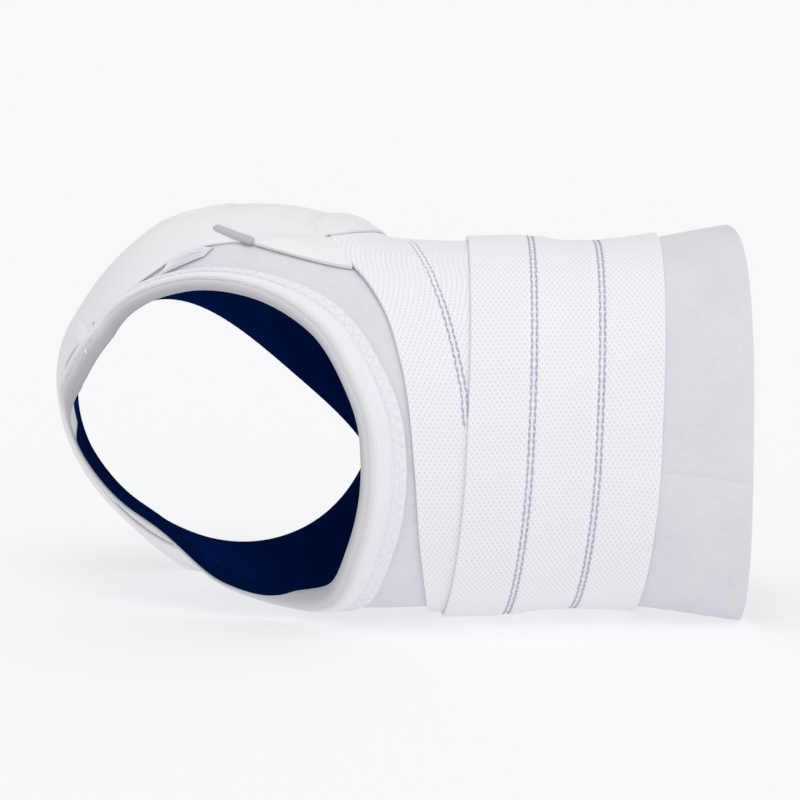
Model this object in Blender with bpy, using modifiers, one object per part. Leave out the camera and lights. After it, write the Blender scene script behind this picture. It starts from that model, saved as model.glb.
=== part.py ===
"""Ankle brace lying on its side, with its leg tube along +X and its foot tube going away along +Y.

The body is one skin, worked out by brace_surface(station, angle, lift). A station runs from the cuff (0) round
the ankle to the toe opening (the last row of SECTIONS). The angle runs round each section, from the back of the
leg (0) over the upper side (90 degrees) to the front (180). The lift is the height over the body's outer face.
Every layer is a patch of that skin at its own lift, given its thickness by a Solidify modifier.
"""

import bpy
import bmesh
import numpy as np

# Driving sizes, in metres
OVERALL_LENGTH = 0.1825  # sole to cuff end
LEG_WIDTH = 0.0990  # side to side of the leg tube, which is its height as it lies
FOOT_REACH = 0.0980  # from the back of the leg to the toe opening
FELT_WALL = 0.0020
LINING_WALL = 0.0008
LAYER_GAP = 0.0004  # between layers that touch
LINING_GAP = 0.0008  # between the felt and the lining
INSTEP_SLACK = 0.0010  # how far the diagonal strap stands off where it bridges the instep
CREASE_SLACK = 0.0026  # how far the lining stands off inside the instep's crease
CREASE_STATION = 7.9  # the crease's deepest place
WEB_WALL = 0.0014  # the woven strap
WRAP_WIDTH = 0.0508
BINDING_WIDTH = 0.0098
BINDING_WALL = 0.0011
BINDING_TURN = 0.0020  # how far it reaches inside
FOOT_BAND_WALL = 0.0012
FOOT_BAND_WIDTH = 0.0270
TOE_TRIM_WIDTH = 0.0065
TOE_TRIM_WALL = 0.0010
TAB_WALL = 0.0012
GATHER_WALL = 0.0010  # the small gathered pieces
GATHER_DEPTH = 0.0008  # of their ripples
DIAGONAL_TUCK = 0.0120  # how far the diagonal strap goes in under the wide one
WRAP_DROP = (0.30, 0.54)  # shares of the wide strap's width between which it comes down to the body
BINDING_CLEARANCE = 0.0008
TRIM_CLEARANCE = 0.0016
BAND_CLEARANCE = 0.0013

# Faces of each grid
ROUND_STEPS = 32
HOLE_STEPS = 14
STATION_STEP = 0.05  # a short way along the skin, in stations

# Shares of OVERALL_LENGTH from the cuff (back_x, front_x), of FOOT_REACH from the back of the leg (back_y,
# front_y), and of LEG_WIDTH (middle height, half height). Tilt is in degrees, sole side up. Square and under are
# the exponents of the outline's upper and lower half, 2 for an ellipse. Rest is the height over the floor that
# the skin lies at, as a share of the two straps under it.
SECTION_COLUMNS = (
    "back_x", "back_y", "front_x", "front_y", "middle", "half", "tilt", "square", "under", "rest",
)
SECTIONS = (
    (0.000, -0.012, 0.000, 0.790, 0.500, 0.530, 0, 2.7, 2.9, 0.00),
    (0.165, 0.000, 0.160, 0.776, 0.501, 0.484, 0, 2.4, 2.4, 0.90),
    (0.330, 0.000, 0.305, 0.776, 0.502, 0.481, 0, 2.25, 2.25, 1.00),
    (0.465, 0.000, 0.400, 0.782, 0.502, 0.482, 0, 2.25, 2.25, 1.00),
    (0.600, 0.010, 0.430, 0.800, 0.504, 0.486, 3, 2.4, 2.4, 0.60),
    (0.735, 0.065, 0.448, 0.818, 0.526, 0.506, 9, 2.5, 2.4, 0.50),
    (0.850, 0.165, 0.456, 0.850, 0.555, 0.510, 16, 2.55, 2.25, 0.70),
    (0.936, 0.330, 0.459, 0.888, 0.580, 0.456, 23, 2.5, 2.15, 0.70),
    (0.984, 0.545, 0.458, 0.926, 0.506, 0.400, 31, 2.45, 2.10, 0.70),
    (0.994, 0.770, 0.456, 0.963, 0.405, 0.340, 36, 2.5, 2.20, 0.90),
    (0.996, 0.970, 0.453, 1.000, 0.340, 0.308, 39, 2.6, 2.35, 1.05),
)
LAST_STATION = len(SECTIONS) - 1.0

# The heel opening: the stations where its cut edge starts and ends, then at equal turns from its leg end to its
# sole end the angles of its upper and lower edge in degrees, each followed by the share of the binding's width
HEEL_FROM, HEEL_TO = 3.60, 8.10
HEEL_EDGE = (
    (-5, 1.00, -5, 1.00), (13.5, 0.95, -31, 1.00), (31, 0.80, -64, 0.95), (34.5, 0.50, -79, 0.70),
    (25, 0.34, -79, 0.45), (7, 0.32, -77, 0.36), (-19, 0.34, -69, 0.34), (-30, 0.38, -53, 0.36),
    (-46, 0.38, -46, 0.38),
)

# Where each strap's edge nearest the foot runs: its station at angles round the section, in degrees
WRAP_EDGE = ((-90, 2.92), (0, 2.57), (90, 2.55), (180, 2.70), (270, 2.92))
DIAGONAL_EDGE = (
    (-110, 3.10), (-90, 3.08), (-52, 3.05), (-30, 3.08), (0, 3.14), (24, 3.28), (48, 3.62), (58, 3.90),
    (66, 4.25), (76, 4.70), (90, 5.10), (115, 5.55), (150, 5.90), (170, 6.00),
)
BAND_EDGE = (
    (-90, 8.40), (-65, 8.50), (-45, 8.45), (-25, 8.15), (-8, 7.68), (10, 7.08), (28, 6.62), (45, 6.20),
    (56, 5.55), (67, 5.15), (78, 5.20), (90, 5.60), (113, 6.30), (145, 6.65), (180, 6.75), (270, 8.40),
)
# The corners of the side tab, as station and angle: its free end near and far, then its tucked end
TAB_CORNERS = ((5.42, 49.5), (5.38, 52.5), (4.10, 60), (4.50, 66.5))
# The same for the two small gathered pieces beside the foot band, along its edge and then away from it
TIP_CORNERS = ((6.22, 36), (6.30, 28), (5.84, 42), (5.96, 31))
TACK_CORNERS = ((7.30, 1), (7.44, -6), (7.18, -1), (7.32, -8))

# The heel binding's section from its outer hem round the edge to its inner hem: across, roll, depth and side.
# Across is a share of BINDING_WIDTH outside and of BINDING_TURN inside, roll a share of the clearance past the
# cut edge, and depth a share of the wall that it wraps. Side is 1 outside, 0 on the edge and -1 inside.
BINDING_SECTION = (
    (1.00, 0.0, 0.00, 1), (0.70, 0.0, 0.00, 1), (0.40, 0.0, 0.00, 1), (0.12, 0.0, 0.00, 1),
    (0.0, 0.7, 0.05, 1), (0.0, 1.4, 0.50, 0), (0.0, 0.7, 0.95, -1),
    (0.20, 0.0, 1.00, -1), (0.60, 0.0, 1.00, -1), (1.00, 0.0, 1.00, -1),
)
# The toe trim's section in the same way, with across a share of TOE_TRIM_WIDTH
TOE_SECTION = (
    (1.00, 0.0, 0.00, 1), (0.50, 0.0, 0.00, 1), (0.08, 0.0, 0.00, 1), (0.0, 0.9, 0.08, 1), (0.0, 1.6, 0.30, 0),
    (0.0, 1.6, 0.55, 0),
)


def section_values(station):
    """Each column of SECTIONS at any station, on a smooth Catmull-Rom curve through its rows."""
    rows = np.array(SECTIONS)
    rows = np.vstack([2 * rows[0] - rows[1], rows, 2 * rows[-1] - rows[-2]])
    place = np.clip(np.asarray(station, float), 0, LAST_STATION)
    first = np.minimum(place.astype(int), len(SECTIONS) - 2)
    t = (place - first)[..., None]
    a, b, c, d = (rows[first + k] for k in range(4))
    value = 0.5 * (
        2 * b + (c - a) * t + (2 * a - 5 * b + 4 * c - d) * t**2 + (3 * b - a - 3 * c + d) * t**3
    )
    return {name: value[..., k] for k, name in enumerate(SECTION_COLUMNS)}


def loose_skin(station, angle):
    """The skin before it meets the floor: at each station an oval between its back and front points, whose
    outline is |x|^n + |z|^n = 1, turned by its tilt."""
    v = section_values(station)
    back = np.stack([-v["back_x"] * OVERALL_LENGTH, v["back_y"] * FOOT_REACH], -1)
    front = np.stack([-v["front_x"] * OVERALL_LENGTH, v["front_y"] * FOOT_REACH], -1)
    across = front - back
    depth = np.linalg.norm(across, axis=-1)
    c, s = np.cos(angle), np.sin(angle)
    power = 2 / np.where(s < 0, v["under"], v["square"])
    along = -np.sign(c) * np.abs(c) ** power * depth / 2
    rise = np.sign(s) * np.abs(s) ** power * v["half"] * LEG_WIDTH
    tilt = np.radians(v["tilt"])
    flat = along * np.cos(tilt) + rise * np.sin(tilt)
    high = rise * np.cos(tilt) - along * np.sin(tilt) + v["middle"] * LEG_WIDTH
    middle = (back + front) / 2 + across / depth[..., None] * flat[..., None]
    return np.concatenate([middle, high[..., None]], -1)


def skin_normal(station, angle):
    """Outward unit normals, from the cross product of the two slopes."""
    step = 1e-3
    low = np.maximum(station - step, 0)
    high = np.minimum(station + step, LAST_STATION)
    along = loose_skin(high, angle) - loose_skin(low, angle)
    around = loose_skin(station, angle + step) - loose_skin(station, angle - step)
    n = np.cross(around, along)
    return n / np.linalg.norm(n, axis=-1)[..., None]


def brace_surface(station, angle, lift):
    """A point of the layer at this lift. Where it would go under the floor it is flattened, and the layers keep
    their order there."""
    station, angle, lift = np.broadcast_arrays(*(np.asarray(k, float) for k in (station, angle, lift)))
    point = loose_skin(station, angle) + skin_normal(station, angle) * lift[..., None]
    stack = 2 * (WEB_WALL + LAYER_GAP) * np.clip(section_values(station)["rest"], 0, 1)
    point[..., 2] = np.maximum(point[..., 2], stack - lift)
    return point


def station_after(station, angle, length):
    """The station that lies this length further along the skin at the same angle, or before it if negative."""
    steps = np.linspace(0, 4, 161) * np.sign(length)
    places = np.clip(station + steps, 0, LAST_STATION)
    line = loose_skin(places, np.full_like(places, angle))
    run = np.concatenate([[0], np.cumsum(np.linalg.norm(np.diff(line, axis=0), axis=1))])
    return np.interp(abs(length), run, places)


def shifted(stations, angles, length):
    """station_after for each pair of a station and an angle."""
    return np.array([station_after(s, a, length) for s, a in zip(stations, angles)])


def along_table(table, angles):
    """A strap edge's station at each angle, on a smooth monotone curve through its table."""
    at, value = np.radians([row[0] for row in table]), np.array([row[1] for row in table])
    angles = at[0] + (angles - at[0]) % (at[-1] - at[0])
    slope = np.gradient(value, at)
    k = np.clip(np.searchsorted(at, angles, side="right") - 1, 0, len(at) - 2)
    width = at[k + 1] - at[k]
    t = np.clip((angles - at[k]) / width, 0, 1)
    return (
        (2 * t**3 - 3 * t**2 + 1) * value[k]
        + (t**3 - 2 * t**2 + t) * width * slope[k]
        + (3 * t**2 - 2 * t**3) * value[k + 1]
        + (t**3 - t**2) * width * slope[k + 1]
    )


def material(name, colour, roughness):
    made = bpy.data.materials.new(name)
    made.use_nodes = True
    shader = made.node_tree.nodes["Principled BSDF"]
    shader.inputs["Base Color"].default_value = (*colour, 1)
    shader.inputs["Roughness"].default_value = roughness
    made.diffuse_color = (*colour, 1)
    return made


def layer(name, points, wall, finish, closed_around=False, closed_along=False, outward=True):
    """A grid of points, rows by columns, as one open surface that Solidify makes a wall. Solidify goes inward
    from the grid."""
    rows, columns = points.shape[:2]
    mesh = bpy.data.meshes.new(name)
    work = bmesh.new()
    verts = [[work.verts.new(points[i, j]) for j in range(columns)] for i in range(rows)]
    for i in range(rows - (not closed_along)):
        for j in range(columns - (not closed_around)):
            k, m = (i + 1) % rows, (j + 1) % columns
            corners = [verts[i][j], verts[i][m], verts[k][m], verts[k][j]]
            work.faces.new(corners if outward else corners[::-1])
    bmesh.ops.remove_doubles(work, verts=work.verts, dist=1e-5)
    work.to_mesh(mesh)
    work.free()
    mesh.shade_smooth()
    made = bpy.data.objects.new(name, mesh)
    solid = made.modifiers.new("Wall", "SOLIDIFY")
    solid.thickness = wall
    solid.offset = -1
    mesh.materials.append(finish)
    BRACE.objects.link(made)
    made.parent = STAND
    return made


def edge_turns():
    """The way round the heel opening's upper edge, from its leg end (0) to its sole end (pi)."""
    return np.linspace(0, np.pi, HOLE_STEPS + 1)


def edge_station(turn):
    middle, reach = (HEEL_FROM + HEEL_TO) / 2, (HEEL_TO - HEEL_FROM) / 2
    return middle - reach * np.cos(turn)


def edge_value(turn, upper, lower):
    """A pair of HEEL_EDGE columns at any turn: over the upper edge from 0 to pi and back along the lower one,
    on a closed Catmull-Rom curve."""
    table = np.array(HEEL_EDGE, float)
    loop = np.concatenate([table[:, upper], table[-2:0:-1, lower]])
    place = np.asarray(turn) % (2 * np.pi) * len(loop) / (2 * np.pi)
    first = np.floor(place).astype(int)
    t = place - first
    a, b, c, d = (loop[(first + k) % len(loop)] for k in (-1, 0, 1, 2))
    return 0.5 * (2 * b + (c - a) * t + (2 * a - 5 * b + 4 * c - d) * t**2 + (3 * b - a - 3 * c + d) * t**3)


def edge_angle(turn):
    return np.radians(edge_value(turn, 0, 2))


def body_grid(lift, slack=0.0):
    """The whole skin with the heel opening left out: each row goes round from the opening's upper edge to its
    lower edge, or all the way round where there is no opening."""
    leg = np.array([0, 0.5, 1.1, 1.8, 2.5, 3.1])
    foot = np.array([8.3, 8.9, 9.45, LAST_STATION])
    turns = edge_turns()
    stations = np.concatenate([leg, edge_station(turns), foot])
    turns = np.concatenate([np.zeros(len(leg)), turns, np.full(len(foot), np.pi)])
    first, last = edge_angle(turns), edge_angle(-turns)
    share = np.linspace(0, 1, ROUND_STEPS + 1)
    angles = first[:, None] + (2 * np.pi + last - first)[:, None] * share
    crease = np.exp(-((stations[:, None] - CREASE_STATION) ** 2)) * np.sin(angles / 2) ** 6
    return brace_surface(stations[:, None], angles, lift - slack * crease)


def ring(turn):
    """The angles round a closed strap, in step with the body's grid at that end of the heel opening."""
    return edge_angle(turn) + np.linspace(0, 2 * np.pi, ROUND_STEPS, endpoint=False)


def make_body():
    return layer("body_shell", body_grid(0.0), FELT_WALL, material("Brushed felt", (0.71, 0.72, 0.77), 0.95))


def make_lining():
    points = body_grid(-(FELT_WALL + LINING_GAP), CREASE_SLACK)
    return layer("lining", points, LINING_WALL, material("Navy lining", (0.0, 0.01, 0.05), 0.9))


def make_wrap():
    """The wide strap, once round the leg. Its foot-side third lies over the diagonal strap, and then it comes
    down to the body."""
    angles = ring(0)
    foot_edge = along_table(WRAP_EDGE, angles)
    start, end = WRAP_DROP
    across = np.concatenate([[0, start / 2, start, (start + end) / 2], np.linspace(end, 1, 3)])
    stations = np.array([shifted(foot_edge, angles, -max(share * WRAP_WIDTH, 1e-6)) for share in across])
    drop = np.clip((across - start) / (end - start), 0, 1)
    lifts = (WEB_WALL + LAYER_GAP) * (2 - drop**2 * (3 - 2 * drop))
    points = brace_surface(stations, angles, lifts[:, None])
    return layer("wrap_strap", points, WEB_WALL, WEBBING, closed_around=True, outward=False)


def make_diagonal():
    """The strap that comes out from under the wide one and climbs over the upper side to the front."""
    angles = edge_angle(0) + np.arange(-9, 16) * 2 * np.pi / ROUND_STEPS
    foot_edge = along_table(DIAGONAL_EDGE, angles)
    tucked = shifted(along_table(WRAP_EDGE, angles), angles, -DIAGONAL_TUCK)
    share = np.linspace(0, 1, 10)[:, None]
    stations = foot_edge + (tucked - foot_edge) * share
    bridge = INSTEP_SLACK * np.clip(1 - 1.4 * share, 0, 1) * np.sin(np.clip(angles - angles[-1] / 4, 0, np.pi))
    points = brace_surface(stations, angles, WEB_WALL + LAYER_GAP + bridge)
    return layer("diagonal_strap", points, WEB_WALL, WEBBING, outward=False)


def make_foot_band():
    """The smooth strap round the foot tube. On the upper side it reaches back to the diagonal strap."""
    angles = ring(np.pi)
    near = along_table(BAND_EDGE, angles)
    trim = shifted(np.full_like(angles, LAST_STATION), angles, -(TOE_TRIM_WIDTH + LAYER_GAP))
    far = np.minimum(shifted(near, angles, FOOT_BAND_WIDTH), trim)
    stations = near + (far - near) * np.linspace(0, 1, 8)[:, None]
    points = brace_surface(stations, angles, FOOT_BAND_WALL + BAND_CLEARANCE)
    return layer("foot_band", points, FOOT_BAND_WALL, SMOOTH, closed_around=True)


def patch(corners, along_steps, across_steps):
    """Stations and angles on an even grid between four corners, and the share of the way along each side."""
    first, second, third, fourth = (np.array(corner) for corner in corners)
    u = np.linspace(0, 1, along_steps + 1)[:, None, None]
    v = np.linspace(0, 1, across_steps + 1)[None, :, None]
    grid = (first * (1 - v) + second * v) * (1 - u) + (third * (1 - v) + fourth * v) * u
    return grid[..., 0], np.radians(grid[..., 1]), u[..., 0], v[..., 0]


def make_tab():
    """The smooth tab on the upper side."""
    stations, angles, u, v = patch(TAB_CORNERS, 6, 5)
    points = brace_surface(stations, angles, TAB_WALL + LAYER_GAP)
    return layer("side_tab", points, TAB_WALL, SMOOTH, outward=False)


def make_gather(name, corners, ripples):
    """A small gathered piece of the binding's cloth, with ripples across it that die out along it."""
    stations, angles, u, v = patch(corners, 4, 4 * ripples)
    rise = GATHER_DEPTH * (1 - np.cos(2 * np.pi * ripples * v)) / 2 * (1 - 0.5 * u)
    points = brace_surface(stations, angles, GATHER_WALL + LAYER_GAP + rise)
    return layer(name, points, GATHER_WALL, KNIT)


def make_toe_trim():
    """The narrow trim over the toe opening's edge: a flat hem outside, then over the felt's edge."""
    angles = ring(np.pi)
    edge = np.full_like(angles, LAST_STATION)
    along = loose_skin(edge, angles) - loose_skin(edge - STATION_STEP, angles)
    along /= np.linalg.norm(along, axis=-1)[..., None]
    wrapped = FELT_WALL + LINING_GAP + LINING_WALL
    rows = []
    for across, roll, depth, side in TOE_SECTION:
        stations = edge
        if across:
            stations = shifted(edge, angles, -across * TOE_TRIM_WIDTH)
        base = brace_surface(stations, angles, side * TRIM_CLEARANCE - depth * wrapped)
        rows.append(base + along * roll * TRIM_CLEARANCE)
    made = layer("toe_trim", np.array(rows), TOE_TRIM_WALL, KNIT, closed_around=True)
    made.modifiers["Wall"].offset = 1
    return made


def hem_frame(station, angle, ahead_station, ahead_angle):
    """At a point of an edge that runs towards the point ahead: the point, the direction away from the opening
    within the skin, the skin's normal, and the station and angle moved by one metre that way."""
    step = 1e-4
    point = loose_skin(station, angle)
    run = loose_skin(ahead_station, ahead_angle) - point
    normal = skin_normal(station, angle)
    away = np.cross(run, normal)
    away /= np.linalg.norm(away, axis=-1)[..., None]
    by_station = (loose_skin(station + step, angle) - loose_skin(station - step, angle)) / (2 * step)
    by_angle = (loose_skin(station, angle + step) - loose_skin(station, angle - step)) / (2 * step)
    ss, aa = (by_station**2).sum(-1), (by_angle**2).sum(-1)
    sa = (by_station * by_angle).sum(-1)
    s_away, a_away = (by_station * away).sum(-1), (by_angle * away).sum(-1)
    det = ss * aa - sa**2
    return away, (s_away * aa - a_away * sa) / det, (a_away * ss - s_away * sa) / det


def make_heel_binding():
    """The soft binding round the heel opening: its section is carried round the cut edge, outside as a flat hem
    of the width in HEEL_EDGE, then over the edge and in."""
    half = edge_turns()
    turn = np.concatenate([half[:-1], np.pi + half[:-1]])
    station, angle = edge_station(turn), edge_angle(turn)
    away, station_rate, angle_rate = hem_frame(
        station, angle, edge_station(turn + 1e-3), edge_angle(turn + 1e-3)
    )
    width = edge_value(turn, 1, 3)
    wrapped = FELT_WALL + LINING_GAP + LINING_WALL
    rows = []
    for across, roll, depth, side in BINDING_SECTION:
        reach = across * (BINDING_WIDTH * width if side > 0 else BINDING_TURN)
        lift = side * BINDING_CLEARANCE - depth * wrapped
        base = brace_surface(station + station_rate * reach, angle + angle_rate * reach, lift)
        rows.append(base - away * roll * BINDING_CLEARANCE)
    made = layer("heel_binding", np.array(rows), BINDING_WALL, KNIT, closed_around=True)
    made.modifiers["Wall"].offset = 1
    return made


def centre_over_origin():
    """Moves the whole brace so that the bottom centre of its bounding box is the origin."""
    bpy.context.view_layer.update()
    graph = bpy.context.evaluated_depsgraph_get()
    made = [part.evaluated_get(graph).data for part in BRACE.objects if part.type == "MESH"]
    points = np.array([vert.co for mesh in made for vert in mesh.vertices])
    low, high = points.min(axis=0), points.max(axis=0)
    STAND.location = (-(low[0] + high[0]) / 2, -(low[1] + high[1]) / 2, -low[2])


for old in list(bpy.data.objects):
    bpy.data.objects.remove(old)
BRACE = bpy.data.collections.new("Ankle brace")
STAND = bpy.data.objects.new("Stand", None)
WEBBING = material("Woven strap", (0.90, 0.90, 0.92), 0.8)
SMOOTH = material("Smooth strap", (0.86, 0.86, 0.89), 0.55)
KNIT = material("Knit binding", (0.88, 0.88, 0.92), 0.85)


def main():
    bpy.context.scene.collection.children.link(BRACE)
    BRACE.objects.link(STAND)
    make_body()
    make_lining()
    make_heel_binding()
    make_diagonal()
    make_wrap()
    make_tab()
    make_foot_band()
    make_toe_trim()
    make_gather("gathered_tip", TIP_CORNERS, 3)
    make_gather("sole_tack", TACK_CORNERS, 1)
    centre_over_origin()


main()
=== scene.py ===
"""Ankle brace lying on its side: a grey felt body lined with navy cloth, a soft knit binding round the heel opening,
a wide woven elastic strap over a diagonal one, and a smooth band round the foot tube.

Every piece is a patch of one skin, skin_at(station, angle, lift). A station runs from the cuff (0) round the ankle
to the toe opening, the angle runs round each section from the back of the leg (0) over the upper side (90 degrees)
to the front (180), and the lift is the height over the felt's outer face.
"""

import bpy
import numpy as np
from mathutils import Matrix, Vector


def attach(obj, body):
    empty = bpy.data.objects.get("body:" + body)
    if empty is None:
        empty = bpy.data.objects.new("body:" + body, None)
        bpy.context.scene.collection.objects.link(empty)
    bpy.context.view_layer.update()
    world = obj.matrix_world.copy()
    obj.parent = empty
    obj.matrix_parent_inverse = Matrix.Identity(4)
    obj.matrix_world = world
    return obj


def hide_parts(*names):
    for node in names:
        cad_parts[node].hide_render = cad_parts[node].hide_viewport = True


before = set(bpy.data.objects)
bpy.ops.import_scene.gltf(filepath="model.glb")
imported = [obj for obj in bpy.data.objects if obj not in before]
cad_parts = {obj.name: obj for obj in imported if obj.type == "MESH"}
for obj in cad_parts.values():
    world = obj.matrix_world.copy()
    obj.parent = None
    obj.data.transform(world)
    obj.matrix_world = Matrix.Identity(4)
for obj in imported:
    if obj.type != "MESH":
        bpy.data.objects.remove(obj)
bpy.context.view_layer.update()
MM = 0.001
TURN = 2 * np.pi
THREAD_SIDES = 6

# ---------------------------------------------------------------- sizes, in metres
OVERALL_LENGTH = 0.1825
LEG_WIDTH = 0.0990
FOOT_REACH = 0.0980
CENTRE = np.array([0.08984021, -0.04888147, 0.0])  # from the skin's own corner to the frame's middle

FELT_WALL = 2.0 * MM
LINING_LIFT = -2.2 * MM
LINING_WALL = 0.9 * MM
WEB_WALL = 1.2 * MM
LAYER_GAP = 0.2 * MM
STRAP_LAYER = WEB_WALL + LAYER_GAP
WAVE_HEIGHT = 0.06 * MM
LEAST_WALK = 0.0001 * MM

WRAP_WIDTH = 50.8 * MM
WRAP_STEP = (0.30, 0.54)  # where it comes down off the diagonal strap, as shares of its width from the foot side
WRAP_ROWS = (16.6 * MM, 34.4 * MM)  # its two stitch rows, from the edge nearest the foot
ROW_HALF = 0.65 * MM  # from a row's middle to each of its two lines
ROW_DIP, ROW_DIP_REACH = 0.45 * MM, 1.5 * MM  # how far a row pulls the strap down, and over what distance
ROW_PITCH, ROW_FILL = 1.75 * MM, 0.92  # from stitch to stitch, and how much of that a stitch fills
ROW_LEAN = 0.16  # of each stitch out of its row, in radians
ROW_LIFT = 0.06 * MM
WIDE_STITCH, DIAGONAL_STITCH = (0.62 * MM, 0.36 * MM), (0.55 * MM, 0.34 * MM)  # width and height of a stitch
STITCH_FLOOR = 1.0 * MM  # no stitches are made lower than this, on the side that lies on the floor

DIAGONAL_ENDS = (-9, 15)  # in 32nds of a turn from the heel opening's leg end
DIAGONAL_TUCK = 12.0 * MM
INSTEP_SLACK, SLACK_FADE = 1.0 * MM, 1.4  # how far it stands off the felt, and how fast that fades across it
CREASE_SLACK = 2.6 * MM
CREASE_STATION = 7.9

BINDING_WIDTH = 9.8 * MM
BINDING_SEAM = 0.62  # the seam's place, as a share of the width from the cut edge
BINDING_LIFT, BINDING_PUFF = 1.1 * MM, 0.8 * MM
SEAM_GROOVE, SEAM_GROOVE_REACH = 0.45 * MM, 0.05
BINDING_DEEP = -4.2 * MM  # the lift of its turned-in end, inside the felt
BINDING_THINNED = 3.9 * MM  # how much less deep it turns in on the lower side
BINDING_TURN_IN = 1.6 * MM
BINDING_BULGE = (0.45, 1.45)  # past the felt's edge at the sole side, and how much more at the leg side, in mm
ZIGZAG_STEP = 2.9 * MM
ZIGZAG_RADIUS, SEAM_RADIUS = 0.13 * MM, 0.16 * MM
GATHER_LIFT, GATHER_DOME, GATHER_DEPTH = 0.55 * MM, 1.5 * MM, 1.2 * MM
LIP_WALL, LIP_UNDER = 0.35 * MM, 0.3 * MM  # the lining's turned lip: its wall, and how far it stays under the face

FOOT_BAND_WIDTH = 27.0 * MM
FOOT_BAND_WALL = 0.7 * MM
FOOT_BAND_LIFT, FOOT_BAND_PUFF = 0.8 * MM, 0.9 * MM
FOLD_GROOVE, FOLD_RIDGE = 0.35 * MM, 0.30 * MM
GROOVE_REACH, RIDGE_PLACE, RIDGE_REACH = 0.07, 0.14, 0.09  # in stations, the ridge's place from the fold line
NEAR_STAND_OFF, STAND_OFF_ANGLE, STAND_OFF_REACH = 0.35 * MM, 12, 14  # the last two in degrees
OVER_DIAGONAL = 1.9 * MM  # how much higher the foot band lies where it passes over the diagonal strap
OVER_AHEAD, OVER_RUN, OVER_ANGLES = 0.35, 0.30, (1.2, 2.4)  # where it does, in stations and in radians
TAB_LIFT, TAB_PUFF, TAB_WALL = 1.5 * MM, 0.7 * MM, 1.2 * MM
BAR_LIFT, BAR_RADIUS = 1.3 * MM, 1.2 * MM
TOE_TRIM_WIDTH = 6.5 * MM
TOE_TRIM_LIFT, TOE_TRIM_DEEP, TOE_TRIM_REACH = 1.2 * MM, -2.4 * MM, 1.3 * MM

# ---------------------------------------------------------------- the skin
# SECTIONS has a row for each whole station. back and front are the oval's two ends, as shares of OVERALL_LENGTH and
# FOOT_REACH. middle is how high its centre lies and half is half its height, as shares of LEG_WIDTH. tilt turns it,
# in degrees. square and under are the powers of its upper and under sides. rest is how much of two straps'
# thickness lies between it and the floor.
SECTION_COLUMNS = (
    "back_x", "back_y", "front_x", "front_y", "middle", "half", "tilt", "square", "under", "rest",
)
SECTIONS = np.array((
    (0.000, -0.012, 0.000, 0.790, 0.500, 0.530, 0, 2.7, 2.9, 0.00),
    (0.165, 0.000, 0.160, 0.776, 0.501, 0.484, 0, 2.4, 2.4, 0.90),
    (0.330, 0.000, 0.305, 0.776, 0.502, 0.481, 0, 2.25, 2.25, 1.00),
    (0.465, 0.000, 0.400, 0.782, 0.502, 0.482, 0, 2.25, 2.25, 1.00),
    (0.600, 0.010, 0.430, 0.800, 0.504, 0.486, 3, 2.4, 2.4, 0.60),
    (0.735, 0.065, 0.448, 0.818, 0.526, 0.506, 9, 2.5, 2.4, 0.50),
    (0.850, 0.165, 0.456, 0.850, 0.555, 0.510, 16, 2.55, 2.25, 0.70),
    (0.936, 0.330, 0.459, 0.888, 0.580, 0.456, 23, 2.5, 2.15, 0.70),
    (0.984, 0.545, 0.458, 0.926, 0.506, 0.400, 33, 2.45, 2.00, 0.70),
    (0.994, 0.770, 0.456, 0.963, 0.408, 0.342, 39, 2.8, 2.05, 0.90),
    (0.996, 0.970, 0.453, 1.000, 0.344, 0.318, 43, 3.0, 2.15, 0.80),
))
LAST_STATION = len(SECTIONS) - 1.0

# The heel opening's two ends as stations. Then its edge at even turns from the leg end to the sole end: the upper
# side's angle in degrees and its binding's share of BINDING_WIDTH, and the same two for the lower side.
HEEL_FROM, HEEL_TO = 3.60, 8.10
HEEL_EDGE = (
    (-5, 1.00, -5, 1.00), (13.5, 0.95, -31, 1.00), (31, 0.80, -64, 0.95), (34.5, 0.50, -80, 0.70),
    (25, 0.34, -80, 0.45), (7, 0.32, -78, 0.36), (-19, 0.34, -71, 0.34), (-31, 0.38, -56, 0.36),
    (-48, 0.38, -48, 0.38),
)
# Turns round that edge in radians: the lining's lip, where the binding thins out on the lower side and where it is
# full again, and the part without overlock thread
LIP_TURNS = (0.92 * np.pi, 1.72 * np.pi)
THINNING_TURNS, FILLING_TURNS = (0.84 * np.pi, 0.96 * np.pi), (1.46 * np.pi, 1.72 * np.pi)
BARE_TURNS = (0.86 * np.pi, 1.60 * np.pi)
# Angles in degrees, and stations: the foot-side edges of the wide and the diagonal strap, and the foot band's
# leg-side edge, its fold line and the diagonal strap's stitch row
WRAP_EDGE = ((-90, 2.92), (0, 2.57), (90, 2.55), (180, 2.70), (270, 2.92))
DIAGONAL_EDGE = (
    (-110, 3.10), (-90, 3.08), (-52, 3.05), (-30, 3.08), (0, 3.14), (24, 3.28), (48, 3.62), (58, 3.90),
    (66, 4.25), (76, 4.70), (90, 5.10), (115, 5.55), (150, 5.90), (170, 6.00),
)
BAND_EDGE = (
    (-90, 8.40), (-65, 8.50), (-45, 8.40), (-30, 8.05), (-15, 7.60), (-3, 7.12), (4, 6.88), (14, 6.60), (24, 6.34),
    (30, 6.20), (37, 5.98), (44, 5.70), (52, 5.34), (60, 5.04), (66, 4.80), (74, 4.52), (84, 4.38), (96, 4.34),
    (112, 4.70), (130, 5.60), (145, 6.30), (180, 6.75), (270, 8.40),
)
FOLD_LINE = (
    (-90, 9.3), (-40, 9.0), (-10, 8.5), (10, 8.02), (22, 7.60), (36, 7.12), (43, 6.78), (60, 6.35), (90, 6.6),
    (180, 7.6), (270, 9.3),
)
DIAGONAL_ROW = ((0, 2.54), (9, 2.58), (16, 2.60), (30, 2.70), (44, 2.82), (63, 3.02), (84, 3.30), (98, 3.62))
DIAGONAL_ROW_ENDS = (6, 97)
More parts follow.
